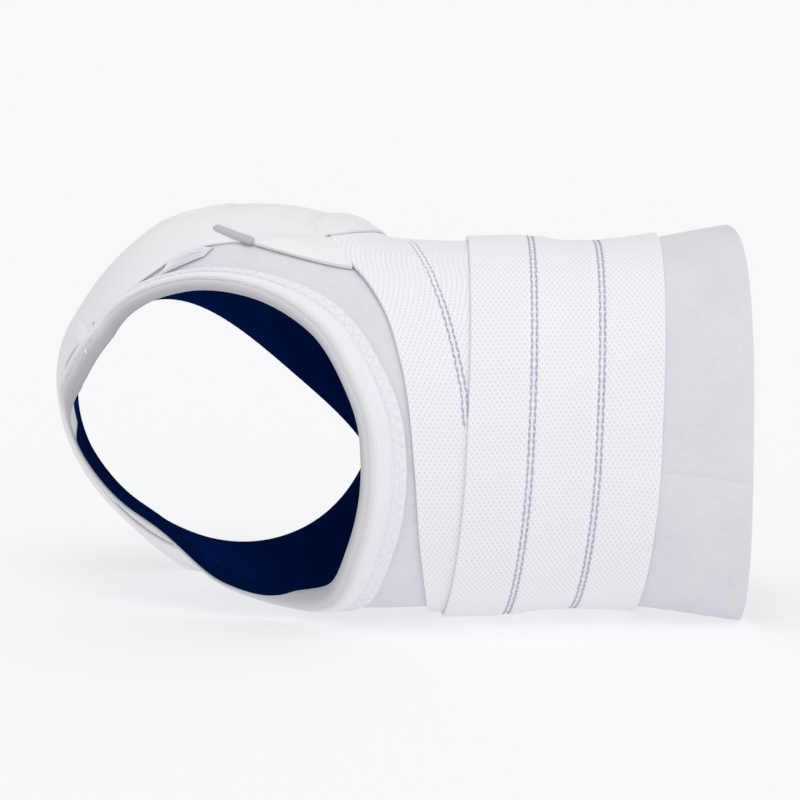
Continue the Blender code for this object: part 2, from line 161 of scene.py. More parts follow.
# Stations, and angles in degrees: the corners of the side tab and of the two small gathered pieces beside the foot
# band, and three points of the tab's end bar, whose grey is partly painted shade
TAB_CORNERS = ((5.42, 49.5), (5.34, 55.0), (4.02, 60), (4.42, 78))
TIP_CORNERS = ((6.24, 30), (6.34, 20), (5.80, 40), (5.84, 35))
TACK_CORNERS = ((7.62, 1), (7.56, -9), (7.16, -1), (7.10, -9))
TAB_BAR = ((6.00, 46.5), (5.60, 48.5), (5.34, 50.5))
# Where the slit's painted shadow starts and how far it runs, in stations and degrees
SLIT_FROM, SLIT_RUN = (6.84, 4.5), (0.22, -9)
# The cloth's own slight waves: how strong, how many radians each station and each radian round, and where it starts
WAVES = ((1.0, 2.3, 3, 0.7), (0.7, 4.1, -5, 2.1), (0.4, 7.7, 8, 4.0))
WALK_STATIONS, WALK_PLACES = 4, 201  # how far a walk along the skin looks, and at how many places


def eased(value, start, end):
    """A smooth step from 0 at the start to 1 at the end."""
    share = np.clip((value - start) / (end - start), 0, 1)
    return share**2 * (3 - 2 * share)


def through(a, b, c, d, t):
    """The Catmull-Rom cubic from b to c, by the share t, with a before and d after them."""
    return 0.5 * (2 * b + (c - a) * t + (2 * a - 5 * b + 4 * c - d) * t**2 + (3 * b - a - 3 * c + d) * t**3)


def section_values(station):
    """Each column of SECTIONS at any station, on a smooth curve through its rows."""
    rows = np.vstack([2 * SECTIONS[0] - SECTIONS[1], SECTIONS, 2 * SECTIONS[-1] - SECTIONS[-2]])
    place = np.clip(np.asarray(station, float), 0, LAST_STATION)
    first = np.minimum(place.astype(int), len(SECTIONS) - 2)
    t = (place - first)[..., None]
    value = through(*(rows[first + k] for k in range(4)), t)
    return {name: value[..., k] for k, name in enumerate(SECTION_COLUMNS)}


def bare_skin(station, angle):
    """An oval at each station between its back and front points, |x|^n + |z|^n = 1, turned by its tilt."""
    station, angle = np.broadcast_arrays(np.asarray(station, float), np.asarray(angle, float))
    v = section_values(station)
    back = np.stack([-v["back_x"] * OVERALL_LENGTH, v["back_y"] * FOOT_REACH], -1)
    front = np.stack([-v["front_x"] * OVERALL_LENGTH, v["front_y"] * FOOT_REACH], -1)
    across = front - back
    depth = np.linalg.norm(across, axis=-1)
    c, s = np.cos(angle), np.sin(angle)
    power = 2 / np.where(s < 0, v["under"], v["square"])
    along = -np.sign(c) * np.abs(c) ** power * depth / 2
    rise = np.sign(s) * np.abs(s) ** power * v["half"] * LEG_WIDTH
    tilt = np.radians(v["tilt"])
    flat = along * np.cos(tilt) + rise * np.sin(tilt)
    high = rise * np.cos(tilt) - along * np.sin(tilt) + v["middle"] * LEG_WIDTH
    middle = (back + front) / 2 + across / depth[..., None] * flat[..., None]
    return np.concatenate([middle, high[..., None]], -1)


def skin_normal(station, angle):
    """The cross product of the skin's two slopes, one unit long, outwards."""
    step = 2e-3
    station, angle = np.broadcast_arrays(np.asarray(station, float), np.asarray(angle, float))
    after, before = np.minimum(station + step, LAST_STATION), np.maximum(station - step, 0)
    along = bare_skin(after, angle) - bare_skin(before, angle)
    around = bare_skin(station, angle + step) - bare_skin(station, angle - step)
    n = np.cross(around, along)
    return n / np.linalg.norm(n, axis=-1)[..., None]


def slack(station, angle):
    """The cloth's own slight waves, a sum of slow sines of station and angle, in metres."""
    return WAVE_HEIGHT * sum(
        strength * np.sin(along * station + around * angle + start) for strength, along, around, start in WAVES
    )


def skin_at(station, angle, lift):
    """bare_skin moved out by the lift and the cloth's waves, and laid flat where it would go under the floor."""
    station, angle, lift = np.broadcast_arrays(*(np.asarray(k, float) for k in (station, angle, lift)))
    point = bare_skin(station, angle) + skin_normal(station, angle) * (lift + slack(station, angle))[..., None]
    stack = 2 * STRAP_LAYER * np.clip(section_values(station)["rest"], 0, 1)
    point[..., 2] = np.maximum(point[..., 2], stack - lift)
    return point + CENTRE


def walked(station, angle, length):
    """The station that lies this length further along the skin at the same angle, or before it if negative."""
    station, angle, length = np.broadcast_arrays(*(np.asarray(k, float) for k in (station, angle, length)))
    steps = np.linspace(0, WALK_STATIONS, WALK_PLACES).reshape((-1,) + (1,) * station.ndim)
    places = np.clip(station + steps * np.where(length < 0, -1, 1), 0, LAST_STATION)
    line = bare_skin(places, angle)
    run = np.cumsum(np.linalg.norm(np.diff(line, axis=0), axis=-1), axis=0)
    run = np.concatenate([np.zeros_like(run[:1]), run])
    k = np.clip((run < np.abs(length)).sum(0), 1, len(run) - 1)[None]
    low, high = np.take_along_axis(run, k - 1, 0)[0], np.take_along_axis(run, k, 0)[0]
    before, after = np.take_along_axis(places, k - 1, 0)[0], np.take_along_axis(places, k, 0)[0]
    share = np.clip((np.abs(length) - low) / np.maximum(high - low, 1e-9), 0, 1)
    return before + (after - before) * share


def along_table(table, angles):
    """A strap edge's station at each angle, on a smooth curve through its table, which repeats round the leg."""
    at, value = np.radians([row[0] for row in table]), np.array([row[1] for row in table])
    angles = at[0] + (angles - at[0]) % (at[-1] - at[0])
    slope = np.gradient(value, at)
    k = np.clip(np.searchsorted(at, angles, side="right") - 1, 0, len(at) - 2)
    width = at[k + 1] - at[k]
    t = np.clip((angles - at[k]) / width, 0, 1)
    return (
        (2 * t**3 - 3 * t**2 + 1) * value[k]
        + (t**3 - 2 * t**2 + t) * width * slope[k]
        + (3 * t**2 - 2 * t**3) * value[k + 1]
        + (t**3 - t**2) * width * slope[k + 1]
    )


# ---------------------------------------------------------------- the heel opening's edge
def edge_station(turn):
    """Half a cosine wave from the opening's leg end (turn 0) to its sole end (pi), and back."""
    return (HEEL_FROM + HEEL_TO) / 2 - (HEEL_TO - HEEL_FROM) / 2 * np.cos(turn)


def edge_value(turn, upper, lower):
    """A pair of HEEL_EDGE columns at any turn, on a smooth closed curve."""
    table = np.array(HEEL_EDGE, float)
    loop = np.concatenate([table[:, upper], table[-2:0:-1, lower]])
    place = np.asarray(turn) % TURN * len(loop) / TURN
    first = np.floor(place).astype(int)
    t = place - first
    return through(*(loop[(first + k) % len(loop)] for k in (-1, 0, 1, 2)), t)


def edge_angle(turn):
    """The angle of the opening's edge at any turn, in radians."""
    return np.radians(edge_value(turn, 0, 2))


def edge_frame(turn):
    """Along the opening's edge: the direction away from the opening in the skin, and how much station and angle
    change for each metre that way."""
    station, angle = edge_station(turn), edge_angle(turn)
    step = 1e-4
    run = bare_skin(edge_station(turn + 1e-3), edge_angle(turn + 1e-3)) - bare_skin(station, angle)
    away = np.cross(run, skin_normal(station, angle))
    away /= np.linalg.norm(away, axis=-1)[..., None]
    by_station = (bare_skin(station + step, angle) - bare_skin(station - step, angle)) / (2 * step)
    by_angle = (bare_skin(station, angle + step) - bare_skin(station, angle - step)) / (2 * step)
    ss, aa, sa = (by_station**2).sum(-1), (by_angle**2).sum(-1), (by_station * by_angle).sum(-1)
    s_away, a_away = (by_station * away).sum(-1), (by_angle * away).sum(-1)
    det = ss * aa - sa**2
    return station, angle, away, (s_away * aa - a_away * sa) / det, (a_away * ss - s_away * sa) / det


def even_turns(count):
    """Turns round the heel opening's edge at equal lengths of it, and its whole length."""
    turn = np.linspace(0, TURN, 1441)
    line = bare_skin(edge_station(turn), edge_angle(turn))
    run = np.concatenate([[0], np.cumsum(np.linalg.norm(np.diff(line, axis=0), axis=-1))])
    return np.interp(np.linspace(0, run[-1], count + 1)[:-1], run, turn), run[-1]


# ---------------------------------------------------------------- meshes
def grid_corners(rows, columns, closed_columns, flip):
    """Row and column of each corner of each quad of a grid."""
    i = np.arange(rows - 1)[:, None]
    j = np.arange(columns - (not closed_columns))[None, :]
    i, j = (k.ravel() for k in np.broadcast_arrays(i, j))
    order = (slice(None), slice(None, None, -1)) if flip else (slice(None), slice(None))
    return np.stack([i, i, i + 1, i + 1], -1)[order], np.stack([j, j + 1, j + 1, j], -1)[order]


def new_piece(name, points, faces, finish, stands_for=(), lay=None):
    """A mesh object from points and faces, with lay as its UV map in millimetres if it has one."""
    mesh = bpy.data.meshes.new(name)
    mesh.from_pydata(points.reshape(-1, 3).tolist(), [], faces.tolist())
    if lay is not None:
        mesh.uv_layers.new(name="Lay").data.foreach_set("uv", lay.astype(np.float32).ravel())
    mesh.shade_smooth()
    mesh.materials.append(finish)
    made = bpy.data.objects.new(name, mesh)
    bpy.context.scene.collection.objects.link(made)
    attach(made, "root")
    if stands_for:
        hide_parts(*stands_for)
    return made


def cloth(name, points, finish, stands_for=(), lay=None, closed_columns=False, flip=False, wall=0.0,
          soft_edge=0.0):
    """A grid of points as a sheet of cloth. lay is its flat place, as two grids in millimetres, one column longer
    than the points if the grid is closed. Solidify gives the wall, inwards, and Bevel rounds its edges."""
    rows, columns = points.shape[:2]
    i, j = grid_corners(rows, columns, closed_columns, flip)
    flat = None if lay is None else np.stack([lay[0][i, j], lay[1][i, j]], -1)
    made = new_piece(name, points, i * columns + j % columns, finish, stands_for, flat)
    if wall:
        solid = made.modifiers.new("Wall", "SOLIDIFY")
        solid.thickness = wall
        solid.offset = -1
    if soft_edge:
        edge = made.modifiers.new("Soft edge", "BEVEL")
        edge.width = soft_edge
        edge.segments = 2
        edge.limit_method = "ANGLE"
        edge.angle_limit = np.radians(50)
    return made


def joined(points, closed_columns):
    """The grid with its first column once more at its end, if it is closed."""
    return np.concatenate([points, points[:, :1]], 1) if closed_columns else points


def flat_place(points, closed_columns=False):
    """How far each grid point lies along its row and along its column, in millimetres, from the step lengths."""
    wrapped = joined(points, closed_columns)
    u, v = np.zeros(wrapped.shape[:2]), np.zeros(wrapped.shape[:2])
    u[:, 1:] = np.cumsum(np.linalg.norm(np.diff(wrapped, axis=1), axis=-1).mean(0))[None] / MM
    v[1:] = np.cumsum(np.linalg.norm(np.diff(wrapped, axis=0), axis=-1), axis=0) / MM
    return u, v


def stitches(name, middle, forward, up, finish, length, width, height):
    """The same small thread stitch at every middle, a capsule of six sides that is pointed at both ends."""
    middle, forward, up = (np.asarray(k, float).reshape(-1, 3) for k in (middle, forward, up))
    side = np.cross(up, forward)
    side /= np.linalg.norm(side, axis=-1)[:, None]
    x = np.array([-1.0, -0.75, 0.0, 0.75, 1.0])[:, None] * length / 2
    size = np.array([0.15, 0.75, 1.0, 0.75, 0.15])[:, None]
    bend = np.linspace(0, TURN, THREAD_SIDES + 1)[None, :-1]
    rings = np.broadcast_arrays(x, size * np.cos(bend) * width / 2, size * np.sin(bend) * height / 2)
    shape = np.stack(rings, -1).reshape(-1, 3)
    points = (
        middle[:, None] + forward[:, None] * shape[:, :1] + side[:, None] * shape[:, 1:2] + up[:, None] * shape[:, 2:]
    )
    i, j = grid_corners(len(x), THREAD_SIDES, True, True)
    end_faces = np.array([[0, 1, 2, 3], [0, 3, 4, 5], [27, 26, 25, 24], [29, 28, 27, 24]])
    one = np.concatenate([i * THREAD_SIDES + j % THREAD_SIDES, end_faces])
    faces = (one[None] + len(shape) * np.arange(len(middle))[:, None, None]).reshape(-1, 4)
    return new_piece(name, points, faces, finish)


def thread(name, path, up, radius, finish):
    """A round thread of six sides along a path, with its rings square to it and its own radius at each point."""
    ahead = np.roll(path, -1, 0) - np.roll(path, 1, 0)
    ahead[0], ahead[-1] = path[1] - path[0], path[-1] - path[-2]
    side = np.cross(ahead, up)
    side /= np.linalg.norm(side, axis=-1)[:, None]
    rise = np.cross(side, ahead)
    rise /= np.linalg.norm(rise, axis=-1)[:, None]
    bend = np.linspace(0, TURN, THREAD_SIDES + 1)[None, :-1, None]
    points = path[:, None] + radius[:, None, None] * (np.cos(bend) * side[:, None] + np.sin(bend) * rise[:, None])
    i, j = grid_corners(len(path), THREAD_SIDES, True, True)
    return new_piece(name, points, i * THREAD_SIDES + j % THREAD_SIDES, finish)


# ---------------------------------------------------------------- materials
def new_group(name, inputs, outputs):
    """A shader node group with these named number or vector sockets."""
    group = bpy.data.node_groups.new(name, "ShaderNodeTree")
    kinds = {"number": "NodeSocketFloat", "vector": "NodeSocketVector"}
    for label, kind, value in inputs:
        socket = group.interface.new_socket(label, in_out="INPUT", socket_type=kinds[kind])
        if value is not None:
            socket.default_value = value
    for label in outputs:
        group.interface.new_socket(label, in_out="OUTPUT", socket_type=kinds["number"])
    return group, group.nodes.new("NodeGroupInput"), group.nodes.new("NodeGroupOutput")


def maths(tree, operation, *values):
    """A Math node over links and numbers."""
    node = tree.nodes.new("ShaderNodeMath")
    node.operation = operation
    for socket, value in zip(node.inputs, values):
        if hasattr(value, "links"):
            tree.links.new(value, socket)
        else:
            socket.default_value = value
    return node.outputs[0]


def noise(tree, vector, scale, detail=2.0, rough=0.5):
    """A noise texture's value at a vector."""
    node = tree.nodes.new("ShaderNodeTexNoise")
    node.inputs["Scale"].default_value = scale
    node.inputs["Detail"].default_value = detail
    node.inputs["Roughness"].default_value = rough
    tree.links.new(vector, node.inputs["Vector"])
    return node.outputs[0]


def mixed(tree, share, first, second):
    """A colour between two, by a share."""
    node = tree.nodes.new("ShaderNodeMix")
    node.data_type = "RGBA"
    tree.links.new(share, node.inputs[0])
    for socket, value in ((node.inputs[6], first), (node.inputs[7], second)):
        if hasattr(value, "links"):
            tree.links.new(value, socket)
        else:
            socket.default_value = (*value, 1)
    return node.outputs[2]


def fibre_group():
    """Short fibres: fine noise, stretched noise and a slow cloud, as a height and a shade."""
    group, start, end = new_group("Fibre nap", [("Place", "vector", None)], ["Height", "Shade"])
    place = start.outputs["Place"]
    fine = noise(group, place, 1500, 3, 0.6)
    stretch = group.nodes.new("ShaderNodeMapping")
    stretch.inputs["Scale"].default_value = (0.35, 1.0, 1.6)
    stretch.inputs["Rotation"].default_value = (0.2, 0.1, 0.35)
    group.links.new(place, stretch.inputs["Vector"])
    lint = noise(group, stretch.outputs[0], 900, 2, 0.55)
    cloud = noise(group, place, 60, 3, 0.6)
    height = maths(group, "ADD", maths(group, "MULTIPLY", fine, 0.6), maths(group, "MULTIPLY", lint, 0.4))
    shade = maths(group, "ADD", maths(group, "MULTIPLY", height, 0.6), maths(group, "MULTIPLY", cloud, 0.4))
    group.links.new(height, end.inputs["Height"])
    group.links.new(shade, end.inputs["Shade"])
    return group


def weave_group():
    """Rows of small pits, every second row half a step on: the product of a cosine along the strap and one across
    it, sharpened by a power, and bent a little by noise."""
    group, start, end = new_group(
        "Basket weave",
        [("Lay", "vector", None), ("Along step", "number", 1.1), ("Across step", "number", 1.3)],
        ["Height", "Pit"],
    )
    wobble = noise(group, start.outputs["Lay"], 0.35, 2, 0.5)
    split = group.nodes.new("ShaderNodeSeparateXYZ")
    group.links.new(start.outputs["Lay"], split.inputs[0])
    along = maths(group, "DIVIDE", split.outputs[0], start.outputs["Along step"])
    across = maths(group, "ADD", maths(group, "DIVIDE", split.outputs[1], start.outputs["Across step"]),
                   maths(group, "MULTIPLY", wobble, 0.3))
    wave_a = maths(group, "COSINE", maths(group, "MULTIPLY", along, TURN))
    wave_b = maths(group, "COSINE", maths(group, "MULTIPLY", across, TURN))
    height = maths(group, "MULTIPLY", maths(group, "ADD", maths(group, "MULTIPLY", wave_a, wave_b), 1.0), 0.5)
    group.links.new(height, end.inputs["Height"])
    group.links.new(maths(group, "POWER", maths(group, "SUBTRACT", 1.0, height), 3.5), end.inputs["Pit"])
    return group


def rib_group():
    """Fine ribs of a knit: a sine of the place across it, bent and broken by noise."""
    group, start, end = new_group("Knit ribs", [("Lay", "vector", None), ("Step", "number", 0.8)], ["Height"])
    split = group.nodes.new("ShaderNodeSeparateXYZ")
    group.links.new(start.outputs["Lay"], split.inputs[0])
    wobble = noise(group, start.outputs["Lay"], 0.9, 2, 0.5)
    across = maths(group, "DIVIDE", split.outputs[1], start.outputs["Step"])
    phase = maths(group, "ADD", maths(group, "MULTIPLY", across, TURN), maths(group, "MULTIPLY", wobble, 2.5))
    rib = maths(group, "MULTIPLY", maths(group, "ADD", maths(group, "SINE", phase), 1.0), 0.5)
    loops = maths(group, "SINE", maths(group, "MULTIPLY", split.outputs[0], TURN / 0.9))
    group.links.new(maths(group, "ADD", rib, maths(group, "MULTIPLY", loops, 0.12)), end.inputs["Height"])
    return group


FIBRE, WEAVE, RIBS = fibre_group(), weave_group(), rib_group()
PATTERN_SHARE, NAP_SHARE = 0.7, 0.3  # of a woven or ribbed cloth's shade
NAP_HEIGHT = 0.2  # of the nap on a woven or ribbed cloth
PAINTED_SHADE_GREY, PAINTED_SHADE_SHARE = (0.42, 0.42, 0.45), 0.75  # the grey of the painted shade on a binding's roll, darkest where it turns in, and its strength


def cloth_finish(name, light, dark, roughness, sheen=0.1, shine=0.25, ramp=(0.35, 0.65), weave=None,
                 ribs=None, bump=0.3, bump_depth=0.2 * MM):
    """A cloth material: its colour goes from light to dark by the nap's shade, or down the pits of the weave, and
    its bump comes from the same pattern's height. Ribbed cloth gets painted shade, greyer where its roll turns in."""
    made = bpy.data.materials.new(name)
    made.use_nodes = True
    tree = made.node_tree
    shader = tree.nodes["Principled BSDF"]
    shader.inputs["Roughness"].default_value = roughness
    shader.inputs["Specular IOR Level"].default_value = shine
    shader.inputs["Sheen Weight"].default_value = sheen
    shader.inputs["Sheen Roughness"].default_value = 0.5
    nap = tree.nodes.new("ShaderNodeGroup")
    nap.node_tree = FIBRE
    tree.links.new(tree.nodes.new("ShaderNodeTexCoord").outputs["Object"], nap.inputs["Place"])
    height, shade = nap.outputs["Height"], nap.outputs["Shade"]
    if weave or ribs:
        lay = tree.nodes.new("ShaderNodeUVMap")
        lay.uv_map = "Lay"
        pattern = tree.nodes.new("ShaderNodeGroup")
        pattern.node_tree = WEAVE if weave else RIBS
        tree.links.new(lay.outputs[0], pattern.inputs["Lay"])
        nap_shade = maths(tree, "MULTIPLY", shade, NAP_SHARE)
        if weave:
            pattern.inputs["Along step"].default_value, pattern.inputs["Across step"].default_value = weave
            pits = maths(tree, "MULTIPLY", pattern.outputs["Pit"], PATTERN_SHARE)
            shade = maths(tree, "ADD", maths(tree, "SUBTRACT", PATTERN_SHARE, pits), nap_shade)
        else:
            pattern.inputs["Step"].default_value = ribs
            shade = maths(tree, "ADD", maths(tree, "MULTIPLY", pattern.outputs["Height"], PATTERN_SHARE), nap_shade)
        height = maths(tree, "ADD", pattern.outputs["Height"], maths(tree, "MULTIPLY", height, NAP_HEIGHT))
    spread = tree.nodes.new("ShaderNodeMapRange")
    spread.inputs["From Min"].default_value, spread.inputs["From Max"].default_value = ramp
    tree.links.new(shade, spread.inputs["Value"])
    colour = mixed(tree, spread.outputs[0], dark, light)
    if ribs:
        # painted shade: a point attribute greys the binding's roll towards the opening's inner edge
        turned = tree.nodes.new("ShaderNodeAttribute")
        turned.attribute_name = "Painted shade"
        colour = mixed(tree, maths(tree, "MULTIPLY", turned.outputs["Fac"], PAINTED_SHADE_SHARE), colour, PAINTED_SHADE_GREY)
    tree.links.new(colour, shader.inputs["Base Color"])
    bumps = tree.nodes.new("ShaderNodeBump")
    bumps.inputs["Strength"].default_value = bump
    bumps.inputs["Distance"].default_value = bump_depth
    tree.links.new(height, bumps.inputs["Height"])
    tree.links.new(bumps.outputs[0], shader.inputs["Normal"])
    return made


FELT = cloth_finish("Grey felt", (0.755, 0.755, 0.79), (0.68, 0.68, 0.725), 0.95, 0.2, bump=0.5)
NAVY = cloth_finish("Navy lining", (0.0008, 0.017, 0.115), (0.0005, 0.012, 0.085), 1.0, 0.0, shine=0.0)
NAVY_EDGE = cloth_finish("Navy edge", (0.0005, 0.0075, 0.050), (0.0003, 0.005, 0.036), 1.0, 0.0, shine=0.0)
WEB = cloth_finish("Woven elastic", (0.885, 0.885, 0.91), (0.66, 0.655, 0.71), 0.75, ramp=(0.05, 0.80),
                   weave=(2.1, 1.35), bump=0.30)
KNIT = cloth_finish("Knit binding", (0.87, 0.87, 0.905), (0.80, 0.80, 0.845), 0.85, 0.25, ramp=(0.2, 0.8),
                    ribs=0.75, bump=0.25, bump_depth=0.12 * MM)
SMOOTH = cloth_finish("Smooth strap", (0.86, 0.86, 0.87), (0.82, 0.82, 0.835), 0.55, bump=0.12)
LILAC = cloth_finish("Lilac thread", (0.56, 0.54, 0.66), (0.42, 0.40, 0.52), 0.7, bump=0.2)
PALE = cloth_finish("Pale thread", (0.86, 0.86, 0.90), (0.78, 0.78, 0.83), 0.7, bump=0.2)
# grey of the tab's end bar, its own grey with painted shade in it, and of the slit's painted shadow
GREY = cloth_finish("Grey end and painted shadow", (0.57, 0.57, 0.61), (0.49, 0.49, 0.53), 0.9, bump=0.3)


# ---------------------------------------------------------------- pieces
def declared(made, points, closed_columns=False, with_pieces=()):
    """Measures the longest column of the piece's grid, and hands the piece back unchanged."""
    column = flat_place(points, closed_columns)[1].max() * MM
    return made


def felt_grid(lift, drop=0.0):
    """The whole skin but for the heel opening: each row goes round from the opening's upper edge to its lower. drop
    is how far it sinks in the crease at the front of the ankle, by a bell curve of the station."""
    leg, foot = np.linspace(0, HEEL_FROM - 0.05, 58), np.linspace(HEEL_TO + 0.06, LAST_STATION, 26)
    half = np.linspace(0, np.pi, 71)
    station = np.concatenate([leg, edge_station(half), foot])
    turn = np.concatenate([np.zeros(len(leg)), half, np.full(len(foot), np.pi)])
    first, last = edge_angle(turn), edge_angle(-turn)
    angle = first[:, None] + (TURN + last - first)[:, None] * np.linspace(0, 1, 161)
    crease = np.exp(-((station[:, None] - CREASE_STATION) ** 2)) * np.sin(angle / 2) ** 6
    return skin_at(station[:, None], angle, lift - drop * crease)


def felt_body():
    """The grey felt sleeve, on the skin itself."""
    points = felt_grid(0.0)
    made = cloth("felt_body", points, FELT, ["body_shell"], wall=FELT_WALL, soft_edge=0.4 * MM)
    return declared(made, points)


def navy_lining():
    """The lining, and the lip that it turns over the felt's edge along the opening's lower side. The lip climbs
    from the lining to just under the felt's face, bulges out by half a sine and fades out at both ends."""
    points = felt_grid(LINING_LIFT, CREASE_SLACK)
    made = cloth("navy_lining_cloth", points, NAVY, ["lining"], wall=LINING_WALL)
    share = np.linspace(0, 1, 220)
    first, last = LIP_TURNS
    station, angle, away, _, _ = edge_frame(first + (last - first) * share)
    tuck = np.linspace(0, 1, 12)[:, None]
    ends = eased(share, 0, 0.12) * (1 - eased(share, 0.8, 1))
    lift = LINING_LIFT - LINING_WALL + (LINING_WALL - LINING_LIFT - LIP_UNDER) * tuck * ends
    lip = skin_at(station, angle, lift) - away * ((0.5 * np.sin(np.pi * tuck) + 0.12) * ends * MM)[..., None]
    turned = cloth("navy_turned_edge", lip, NAVY_EDGE, wall=LIP_WALL)
    return declared(made, points, with_pieces=[turned])


def strap_place(foot_edge, angles, across, lift):
    """Points of a strap at these distances from its foot-side edge, and their stations."""
    station = walked(foot_edge[None], angles[None], -np.maximum(across, LEAST_WALK))
    return skin_at(station, angles[None], lift(across)), station


def wide_lift(across):
    """Over the diagonal strap for the foot-side third, then down to the felt by a smooth step. The stitch rows
    pull it down by a bell curve about each row."""
    dip = sum(ROW_DIP * np.exp(-(((across - row) / ROW_DIP_REACH) ** 2)) for row in WRAP_ROWS)
    return STRAP_LAYER * (2 - eased(across / WRAP_WIDTH, *WRAP_STEP)) - dip


def stitch_line(name, path, up, lean, width, height):
    """Lilac stitches at even steps along a path of points, each leaning by turns to one side and the other."""
    run = np.concatenate([[0], np.cumsum(np.linalg.norm(np.diff(path, axis=0), axis=-1))])
    at = np.arange(ROW_PITCH / 2, run[-1], ROW_PITCH)

    def value(places, values):
        return np.stack([np.interp(places, run, values[:, k]) for k in range(3)], -1)

    middle, rise = value(at, path), value(at, up)
    forward = value(at + 0.3 * MM, path) - value(at - 0.3 * MM, path)
    forward /= np.linalg.norm(forward, axis=-1)[:, None]
    rise /= np.linalg.norm(rise, axis=-1)[:, None]
    side = np.cross(rise, forward)
    sway = lean * (-1.0) ** np.arange(len(at))
    forward = forward * np.cos(sway)[:, None] + side * np.sin(sway)[:, None]
    shown = middle[:, 2] > STITCH_FLOOR
    return stitches(name, middle[shown], forward[shown], rise[shown], LILAC, ROW_PITCH * ROW_FILL,
                    width, height)


def wide_strap():
    """Once round the leg, from its foot-side edge back by its width, with two double rows of stitches."""
    angles = edge_angle(0) + np.linspace(0, TURN, 240, endpoint=False)
    foot_edge = along_table(WRAP_EDGE, angles)
    points, _ = strap_place(foot_edge, angles, np.linspace(0, WRAP_WIDTH, 88)[:, None], wide_lift)
    made = cloth("wide_strap", points, WEB, ["wrap_strap"], flat_place(points, closed_columns=True),
                 closed_columns=True, flip=True, wall=WEB_WALL, soft_edge=0.3 * MM)
    angles = edge_angle(0) + np.linspace(0, TURN, 720)
    foot_edge = along_table(WRAP_EDGE, angles)
    rows = []
    for number, row in enumerate(WRAP_ROWS):
        for side in (-1, 1):
            across = np.array([[row + side * ROW_HALF]])
            path, station = strap_place(foot_edge, angles, across, wide_lift)
            up = skin_normal(station[0], angles)
            rows.append(stitch_line(f"wide_row_{number}_{side % 3}", path[0] + up * ROW_LIFT, up, ROW_LEAN * side,
                                    *WIDE_STITCH))
    return declared(made, points, True, rows)


def diagonal_strap():
    """From its foot-side edge back to under the wide strap. Over the instep it stands off the felt by half a sine
    that fades out towards the wide strap."""
    angles = edge_angle(0) + np.linspace(*DIAGONAL_ENDS, 200) * TURN / 32
    foot_edge = along_table(DIAGONAL_EDGE, angles)
    tucked = walked(along_table(WRAP_EDGE, angles), angles, -DIAGONAL_TUCK)
    share = np.linspace(0, 1, 60)[:, None]
    station = foot_edge + (tucked - foot_edge) * share
    fade = np.clip(1 - SLACK_FADE * share, 0, 1)
    bridge = INSTEP_SLACK * fade * np.sin(np.clip(angles - angles[-1] / 4, 0, np.pi))
    points = skin_at(station, angles, STRAP_LAYER + bridge)
    made = cloth("elastic_diagonal", points, WEB, ["diagonal_strap"], flat_place(points), flip=True,
                 wall=WEB_WALL, soft_edge=0.3 * MM)
    row_angle = np.linspace(*DIAGONAL_ROW_ENDS, 400)
    row_station = np.interp(row_angle, *zip(*DIAGONAL_ROW))
    row_angle = np.radians(row_angle)
    up = skin_normal(row_station, row_angle)
    rows = []
    for side in (-1, 1):
        shifted = walked(row_station, row_angle, side * ROW_HALF * np.ones_like(row_station))
        path = skin_at(shifted, row_angle, STRAP_LAYER + ROW_LIFT)
        rows.append(stitch_line(f"diagonal_row_{side % 3}", path, up, ROW_LEAN * side, *DIAGONAL_STITCH))
    return declared(made, points, with_pieces=rows)


def foot_band():
    """The smooth strap round the foot tube. A fold line runs along its toe side as a bell-shaped groove with a ridge
    beside it, its near edge stands off a little where it passes the gathered corners, and on the upper side a
    smooth step lifts it over the diagonal strap."""
    angles = edge_angle(np.pi) + np.linspace(0, TURN, 260, endpoint=False)
    near = along_table(BAND_EDGE, angles)
    trim = walked(np.full_like(angles, LAST_STATION), angles, -(TOE_TRIM_WIDTH + LAYER_GAP))
    far = np.minimum(walked(near, angles, FOOT_BAND_WIDTH), trim)
    share = np.linspace(0, 1, 70)[:, None]
    station = near + (far - near) * share
    turned = (angles + np.pi / 2) % TURN - np.pi / 2
    fold = np.interp(np.degrees(turned), *zip(*FOLD_LINE))
    groove = FOLD_GROOVE * np.exp(-(((station - fold) / GROOVE_REACH) ** 2))
    ridge = FOLD_RIDGE * np.exp(-(((station - fold - RIDGE_PLACE) / RIDGE_REACH) ** 2))
    beside_corners = np.exp(-(((np.degrees(turned) - STAND_OFF_ANGLE) / STAND_OFF_REACH) ** 2))
    stand_off = NEAR_STAND_OFF * (1 - share) ** 3 * beside_corners
    puff = FOOT_BAND_PUFF * np.sin(np.pi * share) ** 0.8
    past_diagonal = along_table(DIAGONAL_EDGE, angles) + OVER_AHEAD - station
    upper_side = (turned > OVER_ANGLES[0]) & (turned < OVER_ANGLES[1])
    over = OVER_DIAGONAL * eased(past_diagonal, 0, OVER_RUN) * upper_side
    points = skin_at(station, angles, FOOT_BAND_LIFT + puff - groove + ridge + stand_off + over)
    made = cloth("smooth_foot_band", points, SMOOTH, ["foot_band"],
                 flat_place(points, closed_columns=True), closed_columns=True, wall=FOOT_BAND_WALL,
                 soft_edge=0.4 * MM)
    return declared(made, points, True)


def patch(corners, rows, columns):
    """Stations and angles on an even grid between four corners, and the shares along and across."""
    first, second, third, fourth = (np.array(corner, float) for corner in corners)
    u, v = np.linspace(0, 1, rows)[:, None, None], np.linspace(0, 1, columns)[None, :, None]
    grid = (first * (1 - v) + second * v) * (1 - u) + (third * (1 - v) + fourth * v) * u
    return grid[..., 0], np.radians(grid[..., 1]), u[..., 0], v[..., 0]


